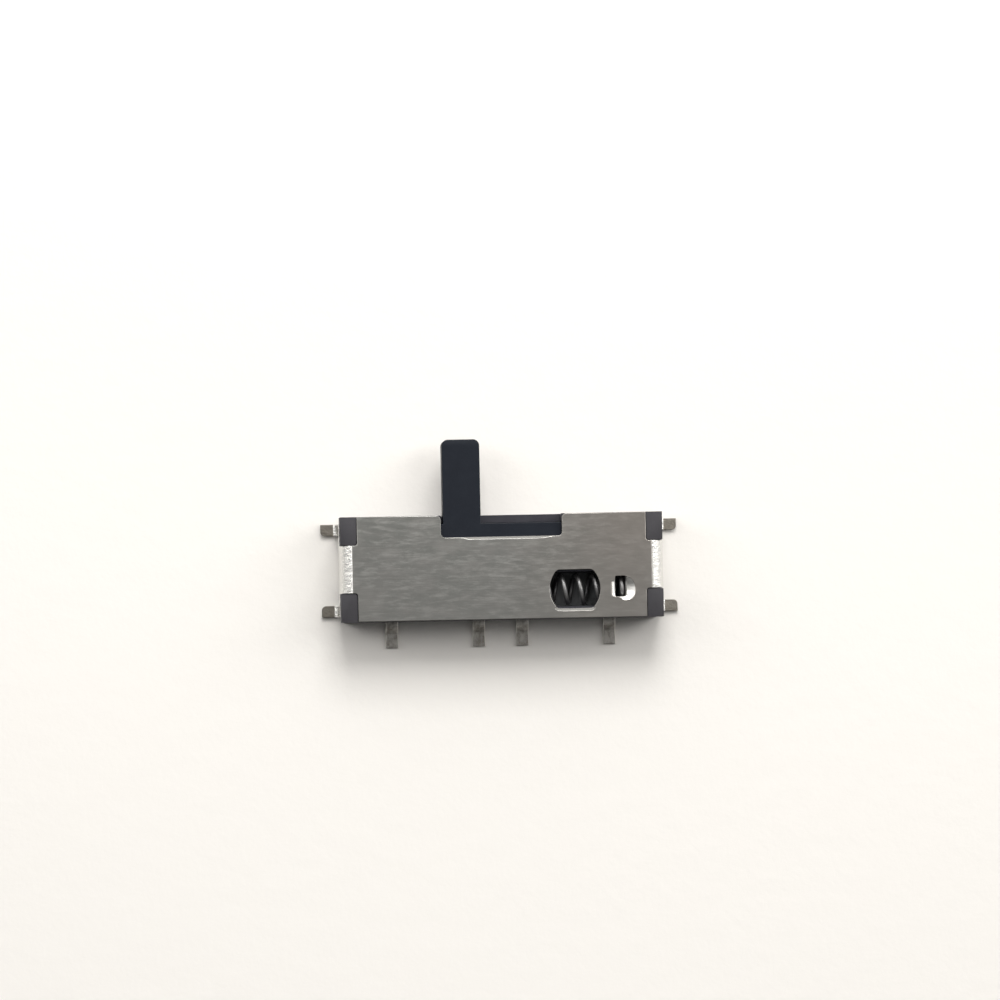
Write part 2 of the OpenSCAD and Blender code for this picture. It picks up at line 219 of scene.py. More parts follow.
def inset(points):
    """How each point of a closed loop moves, per millimetre that the edge moves to its left."""
    moves = []
    for i, here in enumerate(points):
        sides = []
        for a, b in ((points[i - 1], here), (here, points[(i + 1) % len(points)])):
            length = math.dist(a, b)
            sides.append(((a[1] - b[1]) / length, (b[0] - a[0]) / length))
        (ax, ay), (bx, by) = sides
        stretch = 1 + ax * bx + ay * by
        moves.append(((ax + bx) / stretch, (ay + by) / stretch))
    return moves


def rolled_sheet(outline, holes, thickness, roll_over):
    """A bmesh of a flat sheet with its middle at z = 0, whose cut edges are rolled over.

    For a point of the outline, roll_over gives the width and the depth of the rounding on the top.
    It may add the bulge, from 0 for a plain slope to 1 for a quarter round, and the direction.
    Without them, it is a quarter round that goes straight in from the edge. The edges underneath
    lose a small chamfer. Seams mark where the flats end.
    """
    chamfer = 0.02
    steps = 5
    bm = bmesh.new()
    for number, loop in enumerate([outline, *holes]):
        area = sum(a[0] * b[1] - b[0] * a[1] for a, b in zip(loop, loop[1:] + loop[:1]))
        if (area > 0) != (number == 0):
            loop = loop[::-1]
        rolls = []
        for (x, y), move in zip(loop, inset(loop)):
            roll = roll_over(x, y)
            rolls.append((*roll, *(1, move)[len(roll) - 2:]))

        def ring(place):
            verts = []
            for (x, y), (width, depth, bulge, (dx, dy)) in zip(loop, rolls):
                inward, z = place(width, depth, bulge)
                verts.append(bm.verts.new((x + dx * inward, y + dy * inward, z)))
            return verts

        def rounded(share, width, depth, bulge):
            inward = between(share, 1 - math.cos(math.pi / 2 * share), bulge)
            down = between(1 - share, 1 - math.sin(math.pi / 2 * share), bulge)
            return width * inward, thickness / 2 - depth * down

        rings = [ring(lambda *roll: (chamfer, -thickness / 2)),
                 ring(lambda *roll: (0, chamfer - thickness / 2))]
        rings += [ring(lambda *roll: rounded(step / steps, *roll)) for step in range(steps + 1)]
        for low, high in zip(rings, rings[1:]):
            for i in range(len(loop)):
                after = (i + 1) % len(loop)
                bm.faces.new((low[i], low[after], high[after], high[i]))
    for height in (-thickness / 2, thickness / 2):
        edges = [edge for edge in bm.edges
                 if all(abs(vert.co.z - height) < 1e-6 for vert in edge.verts)]
        for edge in edges:
            edge.seam = True
        bmesh.ops.triangle_fill(bm, use_beauty=True, edges=edges)
    bmesh.ops.recalc_face_normals(bm, faces=bm.faces[:])
    return bm


def round_edges(bm, radius, segments, chosen):
    """Rounds the edges that chosen accepts."""
    edges = [edge for edge in bm.edges if len(edge.link_faces) == 2 and chosen(edge)]
    bmesh.ops.bevel(bm, geom=edges, offset=radius, segments=segments, profile=0.5, affect="EDGES",
                    clamp_overlap=True)


def sharp(edge):
    return edge.calc_face_angle(0) > math.radians(30)


def strip_point(steps, run, height):
    """Where a point lies on a bent strip seen edge-on, at a distance along it and a height in it.

    The strip starts at the origin along +X. A step is a length or a turn, (degrees, radius).
    """
    x = y = heading = 0.0
    for step in steps:
        if isinstance(step, tuple):
            angle, radius = math.radians(step[0]), step[1]
            part = min(run, abs(angle) * radius)
            side = math.copysign(radius, angle)
            end = heading + part / side
            x += side * (math.sin(end) - math.sin(heading))
            y -= side * (math.cos(end) - math.cos(heading))
            heading = end
        else:
            part = min(run, step)
            x += part * math.cos(heading)
            y += part * math.sin(heading)
        run -= part
        if run <= 0:
            break
    return x - height * math.sin(heading), y + height * math.cos(heading)


def cut(bm, axis, places, inside=lambda face: True):
    """Cuts the faces across an axis at some places, so that they can bend there."""
    normal = Vector([1.0 if i == axis else 0.0 for i in range(3)])
    for place in places:
        faces = [face for face in bm.faces if inside(face)]
        geom = {item for face in faces for item in (face, *face.edges, *face.verts)}
        bmesh.ops.bisect_plane(bm, geom=list(geom), dist=1e-5, plane_co=normal * place,
                               plane_no=normal)


def finish_piece(bm, name, body, node):
    """Scales a bmesh to metres and makes it a piece for a CAD node. Its seams stay sharp."""
    bmesh.ops.triangulate(bm, faces=[face for face in bm.faces if len(face.verts) > 4])
    bmesh.ops.scale(bm, vec=(MM, MM, MM), verts=bm.verts[:])
    mesh = bpy.data.meshes.new(name)
    bm.to_mesh(mesh)
    bm.free()
    mesh.shade_smooth()
    mesh.set_sharp_from_angle(angle=math.radians(40))
    for edge in mesh.edges:
        edge.use_edge_sharp = edge.use_edge_sharp or edge.use_seam
    piece = bpy.data.objects.new(name, mesh)
    bpy.context.scene.collection.objects.link(piece)
    normals = piece.modifiers.new("even_normals", "WEIGHTED_NORMAL")
    normals.keep_sharp = True
    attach(piece, body)
    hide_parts(node)
    return piece


# -------------------------------------------------- the cover: one folded sheet

FLAP_MIDDLE = FLAP_BEND + SHEET / 2          # radii of the sheet's middle in its bends
FOOT_MIDDLE = FOOT_BEND + SHEET / 2
TAB_MIDDLE = TAB_BEND + SHEET / 2
FOLD_Z = SHEET + FOOT_BEND
TAB_FOLD_Z = TAB_Z + TAB_BEND
BEND_Z = CEILING - FLAP_BEND
WALL_U = BEND_X + FLAP_MIDDLE * math.pi / 2   # u is the distance along the unfolded sheet
WING_U = WALL_U + BEND_Z - WING_TOP
FOLD_U = WALL_U + BEND_Z - FOLD_Z
FOOT_U = FOLD_U + FOOT_MIDDLE * math.pi / 2
FOOT_TIP_U = FOOT_U + FOOT_REACH - FOOT_BEND
TAB_FOLD_U = WALL_U + BEND_Z - TAB_FOLD_Z
TAB_U = TAB_FOLD_U + TAB_MIDDLE * math.pi / 2
TAB_TIP_U = TAB_U + TAB_LENGTH
FOOT_INNER = (FOOT_SPACING - FOOT_WIDTH) / 2
FOOT_OUTER = (FOOT_SPACING + FOOT_WIDTH) / 2
STOP_HOLE_HALF = STOP_HOLE_WIDTH / 2
HOLE_LEFT = STOP_X - STOP_HOLE_LENGTH                      # the straight edge
HOLE_X = STOP_X + TONGUE_BEND + SHEET - STOP_HOLE_HALF     # where the half-round end starts
TONGUE_END = CEILING - TONGUE_BEND - TONGUE_LENGTH
TONGUE_SHARE = 0.96          # of the half-round rim that the tongue bends down from
TONGUE_COLUMNS = 24
DISH_BEHIND = 0.26           # widths of the dish round the hole, behind the tongue and beside it
DISH_BESIDE = 0.12
DISH_START = 0.1             # behind the hole's straight edge
DISH_SLOPE = 0.42
DISH_BULGE = 0.15

# How far a cut edge is rolled over, as a width and a depth.
SHEARED_ROLL = (0.02, 0.015)
CRISP_ROLL = (0.012, 0.012)  # at the window's front edge and along the front face
MOUTH_ROLL = (0.008, 0.008)  # at the notch's end beside the resting lever
HOLE_ROLL = (0.005, 0.005)
WINDOW_ROLL = (0.095, 0.04)  # at the window's rear edge
STRIP_ROLL = (0.09, 0.05)    # along a terminal's sides
BROAD_BULGE = 0.3            # of the broad roundings at the window and the notch
NOTCH_MORE = (0.065, 0.02)   # added on the notch's floor, between a start and an end
NOTCH_FROM, NOTCH_FROM_EASE = -1.35, 0.2
NOTCH_TO, NOTCH_TO_EASE = 1.8, 0.4
STOP_ROLL = 0.01             # of the stop hole's straight edge, beside the spring
STOP_MORE = (0.15, 0.06)     # added to it in front of the spring's end
STOP_MORE_HALF, STOP_MORE_EASE = 0.29, 0.05


def cover_end():
    """The outline of one unfolded end, from the plate's edge to the middle of the tab."""
    r = CORNER_RADIUS
    f = FOLD_CORNER
    points = [(PLATE_HALF, -COVER_HALF_DEPTH)]
    points += arc(PLATE_HALF + r, -FLAP_HALF - r, r, 180, 90)
    points += arc(WING_U - f, -FLAP_HALF - f, f, 90, 0, 4)
    points += [(WING_U, -FOOT_OUTER), (FOOT_TIP_U, -FOOT_OUTER)]
    r = FOOT_TIP_RADIUS
    points += arc(FOOT_TIP_U - r, -FOOT_INNER - r, r, 0, 90)
    points += arc(FOLD_U + f, -FOOT_INNER + f, f, 270, 180, 4)
    points += arc(FOLD_U + f, -TAB_WIDTH / 2 - f, f, 180, 90, 4)
    points += arc(TAB_TIP_U - f, -TAB_WIDTH / 2 + f, f, 270, 360, 4)
    return points


def cover_outline():
    end = cover_end()
    end += [(x, -y) for x, y in reversed(end)]
    m = MOUTH_RADIUS
    n = NOTCH_RADIUS
    floor_y = COVER_HALF_DEPTH - NOTCH_DEPTH
    end += arc(SLOT_HALF + m, COVER_HALF_DEPTH - m, m, 90, 180)
    end += arc(SLOT_HALF - n, floor_y + n, n, 0, -90)
    end += [((SLOT_HALF - n) * (1 - i / 12), floor_y) for i in range(1, 12)]
    return end + mirrored(end)


def eased(start, corner, end, steps=5):
    """A curve from start to end that rounds the corner between them."""
    points = []
    for step in range(steps + 1):
        t = step / steps
        points.append(tuple((1 - t) ** 2 * a + 2 * t * (1 - t) * b + t * t * c
                            for a, b, c in zip(start, corner, end)))
    return points


def spring_window():
    """Flat along the spring's sides and rounded at both ends."""
    ease = 0.1
    radius = WINDOW_SIDE_RADIUS
    corner = math.asin(WINDOW_WIDTH / 2 / radius)
    centre = radius - WINDOW_LENGTH / 2
    quarter = []
    for step in range(9):
        angle = (corner - ease / radius) * step / 8
        quarter.append((radius * math.cos(angle) - centre, radius * math.sin(angle)))
    tip = (radius * math.cos(corner) - centre, WINDOW_WIDTH / 2)
    quarter += eased(quarter[-1], tip, (tip[0] - ease, tip[1]))[1:]
    upper = quarter + mirrored(quarter)
    lower = [(-x, -y) for x, y in upper[1:-1]]
    return [(WINDOW_X + x, SPRING_Y + y) for x, y in upper + lower]


def hole_rim(share):
    """A point of the stop hole's rear rim, and the point of the dish's outer edge that faces it.

    The share is of the hole's half width, from -1 to 1.
    """
    share = max(-1, min(1, share))
    middle = SPRING_Y + DISH_BESIDE / 2
    half = STOP_HOLE_HALF - DISH_BESIDE / 2
    reach = STOP_HOLE_HALF - DISH_BEHIND
    squareness = 2 if share > 0 else 3
    inner = (HOLE_X + reach * (1 - abs(share) ** 3) ** (1 / 3), middle + half * share)
    outer = (HOLE_X + STOP_HOLE_HALF * (1 - abs(share) ** squareness) ** (1 / squareness),
             SPRING_Y + STOP_HOLE_HALF * share)
    return inner, outer


def tongue_shares():
    """Where the tongue's columns stand on the rear rim."""
    return [TONGUE_SHARE * (2 * i / TONGUE_COLUMNS - 1) for i in range(TONGUE_COLUMNS + 1)]


def stop_hole():
    """Straight in front of the tongue, and half round behind it, where the tongue bends down."""
    top = SPRING_Y + STOP_HOLE_HALF
    bottom = SPRING_Y - STOP_HOLE_HALF + DISH_BESIDE
    r = FOLD_CORNER
    points = arc(HOLE_LEFT + r, top - r, r, 90, 180, 4)
    points += [(HOLE_LEFT, top - r - (top - bottom - 2 * r) * i / 14) for i in range(1, 14)]
    points += arc(HOLE_LEFT + r, bottom + r, r, 180, 270, 4)
    points += [(HOLE_LEFT + r + (HOLE_X - HOLE_LEFT - r) * i / 6, bottom) for i in range(1, 6)]
    beside = (0.98, 0.995, 1)
    shares = [-share for share in reversed(beside)] + tongue_shares() + list(beside)
    return points + [hole_rim(share)[0] for share in shares]


def folded(u, v, w):
    """Where a point of the unfolded sheet lies once folded. w is its height in the sheet."""
    run = abs(u) - BEND_X
    if run <= 0:
        return u, v, CEILING + SHEET / 2 + w
    last = [BEND_Z - TAB_FOLD_Z, (-90, TAB_MIDDLE)]
    if abs(v) > (FOOT_INNER + TAB_WIDTH / 2) / 2:
        last = [BEND_Z - FOLD_Z, (90, FOOT_MIDDLE)]
    out, up = strip_point([(-90, FLAP_MIDDLE), *last, math.inf], run, w)
    return math.copysign(BEND_X + out, u), v, CEILING + SHEET / 2 + up


def add_tongue(bm):
    """Adds the stop tongue, which bends down from the half-round end of its hole."""
    root = 0.05                 # how far its ends reach into the plate's sheet
    inside = 0.004              # how far they stay inside the sheet's faces
    low = CEILING - TONGUE_BEND
    loops = []
    for share in tongue_shares():
        (hinge, y), flat_edge = hole_rim(share)
        high = TOP - DISH_SLOPE * math.dist((hinge, y), flat_edge)
        turn = (STOP_X, high - DISH_SLOPE * (hinge - STOP_X))
        outer = [(hinge + root, high - inside)] + eased((hinge, high), turn, (STOP_X, low), 12)
        outer.append((STOP_X, TONGUE_END))
        rear = STOP_X + SHEET
        start = max(hinge, rear + inside)
        inner = [(start + root, CEILING + inside)]
        inner += eased((start, CEILING + inside), (rear, CEILING + inside), (rear, low), 12)
        inner.append((rear, TONGUE_END))
        loops.append([bm.verts.new((x, y, z)) for x, z in outer + inner[::-1]])
    for here, there in zip(loops, loops[1:]):
        for i in range(len(here)):
            after = (i + 1) % len(here)
            bm.faces.new((here[i], here[after], there[after], there[i]))
        bm.edges.get((here[1], there[1])).seam = True
    bm.faces.new(loops[0])
    bm.faces.new(loops[-1])


def stop_roll(x, y):
    """The edge round the stop hole, as rolled_sheet takes it.

    It is broad in front of the spring's end, and dished behind the tongue and on the rear side.
    """
    if x < HOLE_LEFT + FOLD_CORNER / 2:
        share = clamped((STOP_MORE_HALF - abs(y - SPRING_Y)) / STOP_MORE_EASE)
        return tuple(STOP_ROLL + more * share for more in STOP_MORE)
    if x < HOLE_X and y > SPRING_Y:
        return HOLE_ROLL
    if x < HOLE_X:
        grown = clamped((x - HOLE_LEFT - DISH_START) / (HOLE_X - HOLE_LEFT - DISH_START))
        flat_edge = (x, y - DISH_BESIDE * grown)
    else:
        share = (y - SPRING_Y - DISH_BESIDE / 2) / (STOP_HOLE_HALF - DISH_BESIDE / 2)
        flat_edge = hole_rim(share)[1]
    width = math.dist((x, y), flat_edge)
    if width < HOLE_ROLL[0]:
        return HOLE_ROLL
    way = ((flat_edge[0] - x) / width, (flat_edge[1] - y) / width)
    return width, DISH_SLOPE * width, DISH_BULGE, way


def cover_roll(x, y):
    """How the punch has rolled the cover's edge over at a point, as rolled_sheet takes it."""
    near = 0.01
    across = abs(y - SPRING_Y)
    if abs(x - WINDOW_X) < WINDOW_LENGTH / 2 + near and across < WINDOW_WIDTH / 2 + near:
        on_rear_edge = y < SPRING_Y - WINDOW_WIDTH / 2 + 0.05
        return (*WINDOW_ROLL, BROAD_BULGE) if on_rear_edge else CRISP_ROLL
    if abs(x - HOLE_X) < STOP_HOLE_HALF + near and across < STOP_HOLE_HALF + near:
        return stop_roll(x, y)
    if y > 0 and -SLOT_HALF - MOUTH_RADIUS < x < -SLOT_HALF + NOTCH_RADIUS:
        return MOUTH_ROLL
    if y < COVER_HALF_DEPTH - NOTCH_DEPTH + near and abs(x) < SLOT_HALF and y > 0:
        share = clamped((x - NOTCH_FROM) / NOTCH_FROM_EASE)
        share *= clamped((NOTCH_TO - x) / NOTCH_TO_EASE)
        width, depth = (size + more * share for size, more in zip(SHEARED_ROLL, NOTCH_MORE))
        return width, depth, BROAD_BULGE
    return CRISP_ROLL if y > COVER_HALF_DEPTH - near else SHEARED_ROLL


def folded_cover():
    """The plate is cut where it bends, and every point goes to its place in the folded sheet."""
    bm = rolled_sheet(cover_outline(), [spring_window(), stop_hole()], SHEET, cover_roll)
    easing = 0.03               # width of the faces that keep the shading of a bend to itself
    bend = [BEND_X - easing, *stations(BEND_X, WALL_U - BEND_X, 14), WALL_U + easing]
    foot = [FOLD_U - easing, *stations(FOLD_U, FOOT_U - FOLD_U, 14), FOOT_U + easing]
    tab = stations(TAB_FOLD_U, TAB_U - TAB_FOLD_U, 6)
    for side in (-1, 1):
        cut(bm, 0, [side * place for place in bend + foot])
        cut(bm, 0, [side * place for place in tab],
            lambda face: abs(face.calc_center_median().y) < TAB_WIDTH)
    for vert in bm.verts:
        vert.co = folded(*vert.co)
    add_tongue(bm)
    bmesh.ops.recalc_face_normals(bm, faces=bm.faces[:])
    return finish_piece(bm, "folded_cover", "housing", "cover")


# -------------------------------------------------- the slider: lever, bar, pusher and spigot

def prism(outline, low, high):
    """A bmesh of an outline extruded from one height to another."""
    bm = bmesh.new()
    face = bm.faces.new([bm.verts.new((x, y, low)) for x, y in outline])
    made = bmesh.ops.extrude_face_region(bm, geom=[face], use_keep_orig=True)
    bmesh.ops.translate(bm, verts=[v for v in made["geom"] if isinstance(v, bmesh.types.BMVert)],
                        vec=(0, 0, high - low))
    bmesh.ops.recalc_face_normals(bm, faces=bm.faces[:])
    return bm


def joined(first, others, operation="UNION"):
    """The exact boolean of one bmesh with some others.

    All of them are first put on one fine grid, so that planes that meet fit.
    """
    helpers = []
    for bm in (first, *others):
        for vert in bm.verts:
            vert.co = [round(part, 4) for part in vert.co]
        helper = bpy.data.objects.new("helper", bpy.data.meshes.new("helper"))
        bm.to_mesh(helper.data)
        bpy.context.scene.collection.objects.link(helper)
        helpers.append(helper)
    base = helpers[0]
    for helper in helpers[1:]:
        modifier = base.modifiers.new("join", "BOOLEAN")
        modifier.operation = operation
        modifier.solver = "EXACT"
        modifier.object = helper
    bpy.context.view_layer.update()
    result = bmesh.new()
    result.from_object(base, bpy.context.evaluated_depsgraph_get())
    for helper in helpers:
        bpy.data.objects.remove(helper)
    bmesh.ops.remove_doubles(result, verts=result.verts[:], dist=1e-5)
    bmesh.ops.dissolve_limit(result, angle_limit=math.radians(1), verts=result.verts[:],
                             edges=result.edges[:])
    return result


def block(low, high):
    """A bmesh of a box from its low corner to its high corner."""
    corners = [(low[0], low[1]), (high[0], low[1]), (high[0], high[1]), (low[0], high[1])]
    return prism(corners, low[2], high[2])


def rod(start, direction, radius, length):
    """A bmesh of a round rod, from its start along a direction."""
    bm = bmesh.new()
    bmesh.ops.create_cone(bm, cap_ends=True, segments=32, radius1=radius, radius2=radius,
                          depth=length)
    turn = Vector((0, 0, 1)).rotation_difference(Vector(direction)).to_matrix().to_4x4()
    place = Matrix.Translation(Vector(start) + Vector(direction) * length / 2)
    bmesh.ops.transform(bm, matrix=place @ turn, verts=bm.verts[:])
    return bm


def lever_outline():
    half = LEVER_WIDTH / 2
    r = LEVER_TIP_RADIUS
    tip = SLIDER_HIGH.y
    root = BAR_FRONT_Y - SLIDE_GAP
    points = [(SLIDER_X - half, root), (SLIDER_X + half, root)]
    points += arc(SLIDER_X + half - r, tip - r, r, 0, 90, 12)
    return points + arc(SLIDER_X - half + r, tip - r, r, 90, 180, 12)


def moulded_slider():
    pusher_x = SPRING_LOW.x - SEAT_GAP
    low = SLIDER_LOW.z
    high = SLIDER_HIGH.z
    bar = prism([
        (SLIDER_LOW.x, SLIDER_LOW.y), (pusher_x, SLIDER_LOW.y), (pusher_x, BAR_REAR_Y),
        (SLIDER_HIGH.x, BAR_REAR_Y), (SLIDER_HIGH.x, BAR_FRONT_Y), (SLIDER_LOW.x, BAR_FRONT_Y),
    ], low, high)
    ceiling = low + POCKET_DEPTH
    pocket = block((SLIDER_X - POCKET_HALF_LENGTH, TRACK_Y - POCKET_HALF_WIDTH, low - PAST),
                   (SLIDER_X + POCKET_HALF_LENGTH, TRACK_Y + POCKET_HALF_WIDTH, ceiling))
    bar = joined(bar, [pocket], "DIFFERENCE")
    lever = prism(lever_outline(), high - LEVER_THICKNESS, high)
    spigot = rod((pusher_x - SLIDE_GAP, SPRING_Y, SPRING_Z), (1, 0, 0), SPIGOT_DIAMETER / 2,
                 SPIGOT_LENGTH + SLIDE_GAP)
    stake = rod((SLIDER_X, TRACK_Y, ceiling - STAKE_LENGTH), (0, 0, 1), STAKE_DIAMETER / 2,
                STAKE_LENGTH + SLIDE_GAP)
    bm = joined(bar, [lever, spigot, stake])
    round_edges(bm, 0.045, 3, sharp)
    return finish_piece(bm, "moulded_slider", "actuator", "slider")


# -------------------------------------------------- the base

def corner_post(side_x, side_y):
    """A post that stands in a corner cut-out of the cover."""
    low_x = PLATE_HALF + FIT_GAP
    low_y = FLAP_HALF + FIT_GAP
    high_x = BODY_HALF - FIT_GAP
    points = arc(low_x + CORNER_RADIUS, low_y + CORNER_RADIUS, CORNER_RADIUS, 270, 180, 6)
    points += [(low_x, BASE_HIGH.y), (high_x, BASE_HIGH.y), (high_x, low_y)]
    return prism([(side_x * x, side_y * y) for x, y in points], WING_TOP + FIT_GAP, BASE_HIGH.z)


def moulded_base():
    """The floor, walls, channels and posts, with their edges rounded as a mould leaves them."""
    side = [(BASE_HALF, 0), (BASE_HALF, BEND_Z)]
    side += arc(BEND_X, BEND_Z, FLAP_BEND - FIT_GAP, 0, 90)[1:] + [(BEND_X, CEILING)]
    walls = prism(side + mirrored(side), BASE_LOW.y, BASE_HIGH.y)
    bmesh.ops.rotate(walls, matrix=Matrix.Rotation(math.radians(90), 3, "X"), verts=walls.verts[:])
    posts = [corner_post(x, y) for x in (-1, 1) for y in (-1, 1)]
    rear = SPRING_Y - CHANNEL_WIDTH / 2
    rib = SPRING_Y + CHANNEL_WIDTH / 2
    inner_front = BASE_HIGH.y - FRONT_WALL
    rib_start = SPRING_LOW.x - SEAT_GAP + TRAVEL + END_GAP
    sill = SLIDER_HIGH.z - LEVER_THICKNESS - SLIDE_GAP
    tab_half = TAB_WIDTH / 2 + FIT_GAP
    tab_tip = BODY_HALF - SHEET - TAB_BEND - TAB_LENGTH - FIT_GAP
    tab_top = TAB_Z + FIT_GAP
    high = TOP + PAST
    cuts = [
        block((-CAVITY_HALF, BAR_REAR_Y - SLIDE_GAP, FLOOR_THICKNESS),
              (CAVITY_HALF, inner_front, high)),
        block((-CAVITY_HALF, rear, SHELF_Z), (STOP_X, rib, high)),
        block((-CAVITY_HALF, rear, SHELF_Z), (rib_start, inner_front, high)),
        block((-CAVITY_HALF, rear, TONGUE_END - SLIDE_GAP), (CAVITY_HALF, rib, high)),
        block((-SLOT_HALF, inner_front - PAST, sill), (SLOT_HALF, BASE_HIGH.y + PAST, high)),
        block((-BASE_HALF - PAST, -tab_half, -PAST), (-tab_tip, tab_half, tab_top)),
        block((tab_tip, -tab_half, -PAST), (BASE_HALF + PAST, tab_half, tab_top)),
    ]
    for number in TERMINALS:
        cuts.append(prism(terminal_outline(terminal_x(number)), TERMINAL_DROP, FLOOR_THICKNESS))
    bm = joined(joined(walls, posts), cuts, "DIFFERENCE")
    round_edges(bm, 0.03, 2, lambda edge: sharp(edge) and edge.calc_length() > 0.1)
    return finish_piece(bm, "moulded_base", "housing", "base")


# -------------------------------------------------- the terminals

def terminal_x(number):
    return GRID * (-2.5, -0.5, 0.5, 2.5)[number - 1]


def terminal_outline(x):
    """The unbent terminal: its land inside the base, and the stem that runs out at the rear."""
    side = math.copysign(1, x)
    inner = abs(x) < GRID
    near = LAND_GAP / 2 if inner else GRID + LAND_GAP / 2
    far = GRID - LAND_GAP / 2 if inner else abs(x) + TERMINAL_WIDTH / 2
    low, high = sorted((side * near, side * far))
    left = x - TERMINAL_WIDTH / 2
    right = x + TERMINAL_WIDTH / 2
    front = TRACK_Y + LAND_WIDTH / 2
    rear = TRACK_Y - LAND_WIDTH / 2
    tip = BASE_LOW.y - TERMINAL_FLAT
    points = [(left, tip), (right, tip), (right, rear)]
    if high > right + 1e-6:
        points += [(high, rear)]
    points += [(high, front), (low, front)]
    if low < left - 1e-6:
        points += [(low, rear)]
    return points + [(left, rear)]


def terminal_roll(x, y):
    """The strip is rounder along its sides than across its sheared tip."""
    near = 0.01
    return SHEARED_ROLL if y < BASE_LOW.y - TERMINAL_FLAT + near else STRIP_ROLL


def formed_terminal(number):
    node = f"terminal_{number}"
    x = terminal_x(number)
    bm = rolled_sheet(terminal_outline(x), [], TERMINAL_THICKNESS, terminal_roll)
    rear = BASE_LOW.y
    second = TERMINAL_LEAD + TERMINAL_ARC + SLOPE_LENGTH
    places = stations(TERMINAL_LEAD, TERMINAL_ARC, 8) + stations(second, TERMINAL_ARC, 8)
    cut(bm, 1, [rear - place for place in places])
    degrees = math.degrees(TERMINAL_SLOPE)
    steps = [TERMINAL_LEAD, (-degrees, TERMINAL_THICKNESS),
             SLOPE_LENGTH, (degrees, TERMINAL_THICKNESS), math.inf]
    middle = FLOOR_THICKNESS - TERMINAL_THICKNESS / 2
    for vert in bm.verts:
        run = max(0, rear - vert.co.y)
        out, up = strip_point(steps, run, vert.co.z)
        y = vert.co.y if run == 0 else rear - out
        vert.co = (vert.co.x, y, middle + up)
    return finish_piece(bm, f"formed_{node}", "housing", node)


# -------------------------------------------------- the return spring

def wire_x(turn, turns):
    """How far along its axis the wire is after a number of turns. The end turns lie closer."""
    if turn <= 1:
        return END_PITCH * max(turn, 0)
    if turn <= turns - 1:
        return END_PITCH + SPRING_PITCH * (turn - 1)
    return END_PITCH * (min(turn, turns) - turns + 2) + SPRING_PITCH * WORKING_TURNS


def coiled_spring():
    turns = WORKING_TURNS + 2
    per_turn = 36
    sides = 14
    start = SPRING_LOW.x + WIRE / 2
    rings = round((turns + 2 * FLAT_TURNS) * per_turn)
    bm = bmesh.new()
    loops = []
    for i in range(rings + 1):
        turn = i / per_turn - FLAT_TURNS
        around = math.radians(90 + 360 * turn)
        ring = []
        for side in range(sides):
            angle = math.tau * side / sides
            radius = COIL_RADIUS + WIRE / 2 * math.cos(angle)
            ring.append(bm.verts.new((
                start + wire_x(turn, turns) + WIRE / 2 * math.sin(angle),
                SPRING_Y + radius * math.cos(around),
                SPRING_Z + radius * math.sin(around),
            )))
        loops.append(ring)
    for here, there in zip(loops, loops[1:]):
        for side in range(sides):
            after = (side + 1) % sides
            bm.faces.new((here[side], here[after], there[after], there[side]))
    bm.faces.new(loops[0][::-1])
    bm.faces.new(loops[-1])
    bmesh.ops.recalc_face_normals(bm, faces=bm.faces[:])
    piece = finish_piece(bm, "coiled_spring", "housing", "return_spring")
    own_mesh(piece)
    return piece


cover = folded_cover()
slider = moulded_slider()
base = moulded_base()
terminals = [formed_terminal(number) for number in TERMINALS]
spring = coiled_spring()
contact = frame["nodes"]["moving_contact"]

# -------------------------------------------------- materials

def material(name, colour, metallic, roughness, gloss=0.5):
    """A new material with a Principled shader, and its node tree."""
    made = bpy.data.materials.new(name)
    made.use_nodes = True
    shader = made.node_tree.nodes["Principled BSDF"]
    shader.inputs["Base Color"].default_value = (*colour, 1)
    shader.inputs["Metallic"].default_value = metallic
    shader.inputs["Roughness"].default_value = roughness
    shader.inputs["Specular IOR Level"].default_value = gloss
    return made, made.node_tree, shader


def coordinates(tree):
    return tree.nodes.new("ShaderNodeTexCoord").outputs["Object"]


def noise(tree, size, detail=4, roughness=0.6):
    """A noise value over the object, with features of that size along X, Y and Z in mm."""
    scaled = tree.nodes.new("ShaderNodeMapping")
    scaled.inputs["Scale"].default_value = [1 / (length * MM) for length in size]
    texture = tree.nodes.new("ShaderNodeTexNoise")
    texture.inputs["Scale"].default_value = 1
    texture.inputs["Detail"].default_value = detail
    texture.inputs["Roughness"].default_value = roughness
    tree.links.new(coordinates(tree), scaled.inputs["Vector"])
    tree.links.new(scaled.outputs["Vector"], texture.inputs["Vector"])
    return texture.outputs["Fac"]


def place_along(tree, axis):
    """How far a point of the object lies along an axis, in metres."""
    parts = tree.nodes.new("ShaderNodeSeparateXYZ")
    tree.links.new(coordinates(tree), parts.inputs["Vector"])
    return parts.outputs[axis]


def distance_from(tree, axis, place):
    """How far a point is from a plane across an axis, in metres. The plane's place is in mm."""
    offset = computed(tree, "SUBTRACT", place_along(tree, axis), place * MM)
    return computed(tree, "ABSOLUTE", offset)


def computed(tree, operation, first, second=None):
    """The result of one sum on a value, or on two."""
    node = tree.nodes.new("ShaderNodeMath")
    node.operation = operation
    for value, socket in zip((first, second), node.inputs):
        if isinstance(value, (int, float)):
            socket.default_value = value
        elif value is not None:
            tree.links.new(value, socket)
    return node.outputs["Value"]


def spread(tree, value, low, high, to_low, to_high):
    """Maps a value from one range to another, and keeps it inside."""
    mapped = tree.nodes.new("ShaderNodeMapRange")
    mapped.inputs["From Min"].default_value = low
    mapped.inputs["From Max"].default_value = high
    mapped.inputs["To Min"].default_value = to_low
    mapped.inputs["To Max"].default_value = to_high
    tree.links.new(value, mapped.inputs["Value"])
    return mapped.outputs["Result"]


def spread_mm(tree, length, low, high, to_low, to_high):
    """Spreads a length, between two that are given in millimetres."""
    return spread(tree, length, low * MM, high * MM, to_low, to_high)


